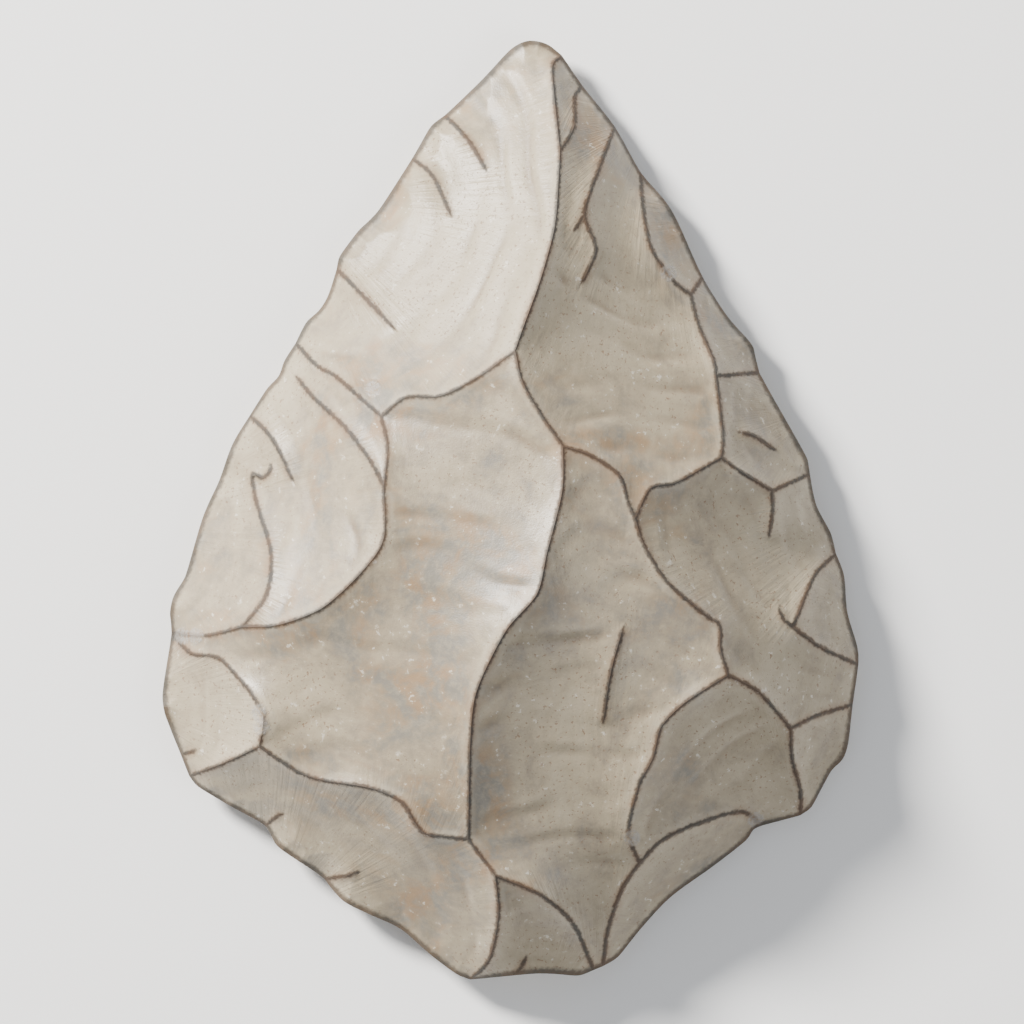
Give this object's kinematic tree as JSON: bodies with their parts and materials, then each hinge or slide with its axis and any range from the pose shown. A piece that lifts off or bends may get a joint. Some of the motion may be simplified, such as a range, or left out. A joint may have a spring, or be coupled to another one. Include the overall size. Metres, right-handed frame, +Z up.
{
  "type": "stone side scraper",
  "caption": "Thick pointed oval flake of knapped flint, its upper face worked all over in hollow scars between ridges, its lower face plain, with a chipped edge all round.",
  "frame": {"origin": "on the surface that the flake lies on, under the middle of its outline", "axes": "+Y towards the tip, along the flake; +Z up, out of the worked face; +X across it"},
  "size_m": [0.0698, 0.094, 0.0228],
  "materials": {
    "flint": "satin patina, a little glossy on the worn ridges and edges"
  },
  "bodies": {
    "root": {"side_scraper": "flint"}
  },
  "joints": []
}
